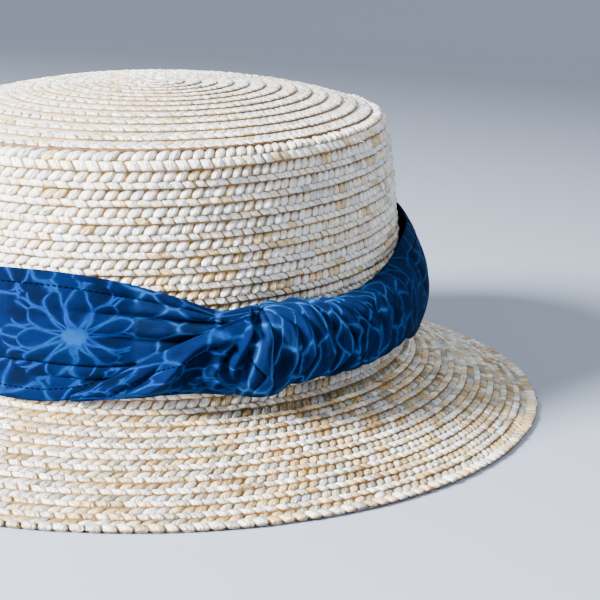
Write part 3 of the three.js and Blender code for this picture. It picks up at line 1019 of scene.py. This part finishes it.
def roll(angle, turn):
    """The bunched part of the band: turn goes from behind its upper edge, over the front, to
    behind its lower edge."""
    angle, turn = np.broadcast_arrays(angle, turn)
    share = (angle - ROLL_ANGLES[0]) / (ROLL_ANGLES[1] - ROLL_ANGLES[0])
    lower, upper, front = read(ROLL, share)
    cosine, sine = way_round(turn, *ROLL_TURN)
    height = (upper + lower) / 2 + (upper - lower) / 2 * bowed(cosine, SQUARED)
    stand = ROLL_BACK + np.where(sine > 0, (front - ROLL_BACK) * np.abs(sine) ** 0.8, 3.2 * sine)
    down = np.clip((upper - height) / (upper - lower), 0, 1)
    lined_up = pleat_place(angle, down)
    size, spot, index = pleats(lined_up)
    ridge = np.sin(np.pi * spot).clip(0, 1) ** 0.8
    push = 1.18 * size * (1 + 0.3 * wander(down * 8 + index * 13.7, 21, 3)) * (ridge - 0.55)
    # Smaller gathers cross each pleat, here and there.
    gather = 2.6 * spot + 0.37 * index + 0.5 * wander(down * 9 + index * 5.1, 33, 2)
    fine = 0.8 * (np.abs(np.sin(np.pi * gather)) ** 0.7 - 0.6)
    fine = fine * smooth(0, 0.25, spot) * smooth(0, 0.25, 1 - spot)
    fine = fine * (0.4 + 0.6 * np.clip(wander(down * 7 + index * 9.3, 35, 2.2) + 0.4, 0, 1))
    # The pleats calm down toward the panel and behind the roll.
    push = (push + fine) * (1 - 0.75 * smooth(87, 93, lined_up))
    push = push * (0.45 + 0.55 * np.clip(sine, 0, 1))
    stand += push * np.clip(sine, 0.1, 1)
    # Its end is tucked in beside the knot.
    tucked = smooth(0.045, 0, share)
    height = height + push * cosine * 0.9 - 3.5 * tucked * np.clip(cosine, 0, 1)
    return off_wall(angle, height, stand + (np.minimum(stand, 1.6) - stand) * tucked)


KNOT_CREASES = [
    ([(46.9, 45.6), (46.5, 41.9), (46.1, 38.7), (46.7, 35.3), (47.9, 32.6), (48.5, 30.8),
      (47.7, 28.6), (46.9, 26.4)], 0.9, 0.4, 1.4, (0.15, 0.1)),
    ([(45.6, 39), (45.4, 34), (45.6, 28)], 0.9, 0.9, 1.8, (0.3, 0.3)),
    ([(48, 49.4), (48.1, 47.4), (48.1, 44.5), (48.2, 41)], 6.5, 1.3, 3, (0, 0.85)),
    ([(46.4, 51.2), (46.8, 47.6), (47, 44.6)], -0.9, 0.7, 2, (0.1, 0.2)),
]
# Left edge of the knot's hem: height, angle.
KNOT_HEM = np.array([[21.6, 46.4], [26.6, 46.8], [28.8, 47.7], [31.2, 48.6], [32.8, 47.8],
                     [35.3, 46.7], [38.7, 46.1], [41.9, 46.5], [44.7, 46.9], [52.4, 47]])


def knot(across, turn):
    """The crossing fold at the knot: across is -1 at its left side and 1 at its right."""
    across, turn = np.broadcast_arrays(across, turn)
    cosine, sine = way_round(turn, *KNOT_TURN)
    front = np.clip(sine, 0, 1)
    length = KNOT_TOP - KNOT_BOTTOM
    height = (KNOT_TOP + KNOT_BOTTOM) / 2 + length / 2 * bowed(cosine, SQUARED)
    down = (KNOT_TOP - height) / length
    middle, half_width = read(KNOT, down)
    angle = middle + half_width * across
    stand = np.where(sine > 0, (KNOT_STAND - KNOT_BACK) * np.abs(sine) ** 0.7, 3 * sine)
    stand = KNOT_BACK + stand
    stand -= 4.6 * np.abs(across) ** 3 * (0.35 + 0.65 * front) * (0.4 + 0.6 * (across < 0))
    stand -= 5 * smooth(0.7, 1, across) * front
    # The hemmed strip lies over the rest of the knot.
    past = angle - read(KNOT_HEM, height)[0]
    strip = smooth(0, 0.35, past) * (0.45 + 0.8 * np.clip(past, 0, 2.2)) * smooth(0.1, 0.26, down)
    stand = stand - 0.5 + strip + creased(angle, height, KNOT_CREASES)
    corner = np.clip(-across, 0, 1) ** 2
    drop = corner * (0.7 * smooth(0.75, 1, down) - 2 * smooth(0.25, 0, down))
    return off_wall(angle, height + drop, stand)


def on_knot(angle, height):
    """The knot's two coordinates at an angle and height on its front."""
    length = KNOT_TOP - KNOT_BOTTOM
    cosine = bowed((2 * height - KNOT_TOP - KNOT_BOTTOM) / length, 1 / SQUARED)
    middle, half_width = read(KNOT, (KNOT_TOP - height) / length)
    start, reach = KNOT_TURN
    return (angle - middle) / half_width, (np.arccos(cosine) / np.pi - start) / reach


# ---- the band's meshes

def sheet_mesh(name, surface, first, second, cloth, material):
    """A closed mesh of a sheet. cloth gives the cloth's own coordinates in mm, for its print and
    weave, and how strongly the print shows; near the neck a weaker print also paints shade."""
    first, second = np.asarray(first)[:, None], np.asarray(second)[None, :]
    points = surface(first, second)
    size = points[..., 0].size
    index = np.arange(size).reshape(points.shape[:2])
    top = grid_faces(*index.shape)
    ring = np.concatenate([index[0], index[1:-1, -1], index[-1, ::-1], index[-2:0:-1, 0]])
    after = np.roll(ring, -1)
    rim = np.stack([ring, after, after + size, ring + size], 1)
    faces = np.concatenate([top, top[:, ::-1] + size, rim])
    out = unit(np.cross(np.gradient(points, axis=0), np.gradient(points, axis=1)))
    if ((points + (0, 3, 0)) * out)[..., :2].sum() < 0:
        out, faces = -out, faces[:, ::-1]
    both = np.concatenate([points + out * CLOTH / 2, points - out * CLOTH / 2]).reshape(-1, 3)
    grid = np.stack(np.broadcast_arrays(*cloth(first, second)), -1).reshape(-1, 3)
    attributes = {"cloth": np.tile(grid, (2, 1))}
    return make_mesh(name, both, faces, [material], attributes=attributes)


def stitching(name, surface, first, second, material, length=1.35, pitch=1.75, lift=0.34):
    """A row of machine stitches along a path on a sheet, by its two coordinates."""
    nudge = 1e-3 * (np.ptp(first) + np.ptp(second) + 1e-6)
    path = surface(first, second)
    out = unit(np.cross(surface(first + nudge, second) - path, surface(first, second + nudge) - path))
    out *= np.sign((path * out)[:, :2].sum(-1, keepdims=True))
    run = run_along(path)
    count = int(run[-1] / pitch)
    share = np.array([0, 0.12, 0.5, 0.88, 1])
    spots = ((np.arange(count) + 0.2) * pitch)[:, None] + share * length
    centre, normal = (np.stack([np.interp(spots, run, column) for column in table.T], -1)
                      for table in (path, out))
    side = np.cross(normal, unit(centre[:, -1:] - centre[:, :1]))
    # Each stitch is five rings of four points, and thins and sinks at its ends.
    around = np.arange(4)[:, None] * np.pi / 2
    thick = 0.17 * np.array([0.35, 1, 1, 1, 0.35])
    raised = lift - 0.28 * np.array([1, 0.25, 0, 0.25, 1])
    ring = side[:, :, None] * np.cos(around) + normal[:, :, None] * np.sin(around)
    middle = centre + normal * raised[:, None]
    points = middle[:, :, None] + ring * thick[:, None, None]
    index = np.arange(20).reshape(5, 4)
    one = np.column_stack([index, index[:, 0]]).ravel()[grid_faces(5, 5)]
    faces = one[None] + (np.arange(count) * 20)[:, None, None]
    return make_mesh(name, points.reshape(-1, 3), faces.reshape(-1, 4), [material])


def roll_cloth(angle, turn):
    """The roll's cloth coordinates: each pleat hides some cloth in its valley."""
    start, reach = ROLL_TURN
    at = pleat_place(angle, np.clip(reach * turn + start, 0, 1))
    _, spot, index = pleats(at)
    along = 548 + 1.9 * at * DEGREE + 5 * (index + smooth(0.9, 1, spot))
    return along + 14 * turn + 27, 50 * turn - 0.1 * along + 6, 0.78 - 0.42 * smooth(66, 92, angle)


def panel_cloth(angle, across):
    # The print is weaker beside the roll and near the neck. Near the neck the weaker print is partly
    # the print not taking and partly painted shade where the cloth goes into the knot.
    strength = 1 - 0.7 * (1 - smooth(97, 135, angle)) - 0.5 * smooth(379, 400, angle)
    return angle * DEGREE - 7, 48 * across - 9, strength


def fold_cloth(share, across):
    return 300 + 52 * share - 12 * across, 6 + 46 * across * (0.35 + 0.65 * share), 0.9


def knot_cloth(across, turn):
    return 716 + 44 * turn, 9 * across + 3, 0.74


def band():
    cloth = batik_material()
    thread = Graph("black_thread").surface(
        {"Base Color": (0.001, 0.0015, 0.004), "Roughness": 0.9, "Specular IOR Level": 0})
    # The panel's grid is closer where it is creased.
    rounds = ((97.4, 130, 0.5), (130, 352, 1.5), (352, 409.1, 0.3))
    angles = np.concatenate([np.arange(*stretch) for stretch in rounds])
    rises = np.interp(np.linspace(0, 1, 60), [0, 0.15, 0.42, 1], [0, 0.18, 0.36, 1])
    sheets = {
        "band_panel": (panel, angles, rises, panel_cloth),
        "band_fold": (fold, np.linspace(0, 1, 130), np.linspace(0, 1, 84), fold_cloth),
        "band_roll": (roll, np.linspace(*ROLL_ANGLES, 270), np.linspace(0, 1, 84), roll_cloth),
        "band_knot": (knot, np.linspace(-1, 1, 56), np.linspace(0, 1, 130), knot_cloth),
    }
    made = {}
    for name, sheet in sheets.items():
        made[name] = sheet_mesh(name + "_cloth", *sheet, cloth)
        stand_for(made[name], name)

    # Stitches run a hem's depth in from the edges, as a share of the cloth's width.
    angle = np.arange(97.6, 404, 0.25)
    lower, upper = read(PANEL, angle)[:2]
    depth = HEM_DEPTH / (upper - lower)
    top = slice(len(angle) - 60)
    foot = slice(np.searchsorted(angle, 381))
    share = np.arange(0.2, 0.8, 0.004)
    fold_lower, fold_upper = read(FOLD, share)[:2]
    fold_depth = HEM_DEPTH / FOLD_SLANT / (fold_upper - fold_lower)
    height = np.linspace(39.5, 25.5, 120)
    hem_place = on_knot(read(KNOT_HEM, height)[0] + 0.1, height)
    upper_row = stitching("band_panel_upper_stitches", panel, angle[top], 1 - depth[top], thread)
    lower_row = stitching("band_panel_lower_stitches", panel, angle[foot], depth[foot], thread)
    fold_row = stitching("band_fold_stitches", fold, share, 1 - fold_depth, thread)
    knot_row = stitching("band_knot_stitches", knot, *hem_place, thread, 1.3, 1.7, 0.5)
    for piece in (upper_row, lower_row, fold_row, knot_row):
        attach(piece, "root")


# ---- floor and light

# The round floor rises to a backdrop far out: radius and height, mm.
FLOOR_REACH = np.array([0, 2000, 3000, 3500, 4000, 4500, 5000, 5400])
FLOOR_RISE = np.array([0, 0, 0, 35, 140, 330, 620, 980])
LAMP_AIM = Vector((0, 0, 0.05))


def stage():
    grey = Graph("floor").surface({"Base Color": (0.3, 0.34, 0.42), "Roughness": 0.6})
    turns = np.linspace(0, FULL_TURN, 73)
    reach, rise = FLOOR_REACH[:, None], FLOOR_RISE[:, None]
    points = np.stack([reach * np.sin(turns), reach * np.cos(turns), rise + 0 * turns], -1)
    make_mesh("floor", points.reshape(-1, 3), grid_faces(*points.shape[:2]), [grey])


def lamp(name, spot, size, power, colour):
    data = bpy.data.lights.new(name, "AREA")
    data.shape = "DISK"
    data.size = size
    data.energy = power
    data.color = colour
    obj = add_object(name, data)
    obj.location = spot
    obj.rotation_mode = "QUATERNION"
    obj.rotation_quaternion = (LAMP_AIM - Vector(spot)).to_track_quat("-Z", "Y")


def light():
    world = bpy.data.worlds.new("studio")
    world.use_nodes = True
    background = world.node_tree.nodes["Background"]
    background.inputs["Color"].default_value = (0.8, 0.86, 0.95, 1)
    background.inputs["Strength"].default_value = 0.76
    bpy.context.scene.world = world
    lamp("key", (-0.64, -1.15, 0.74), 0.5, 203, (0.985, 0.995, 1))
    lamp("fill", (0.76, -0.46, 1.24), 0.1, 10, (0.94, 0.97, 1))


camera()
straw()
band()
stage()
light()
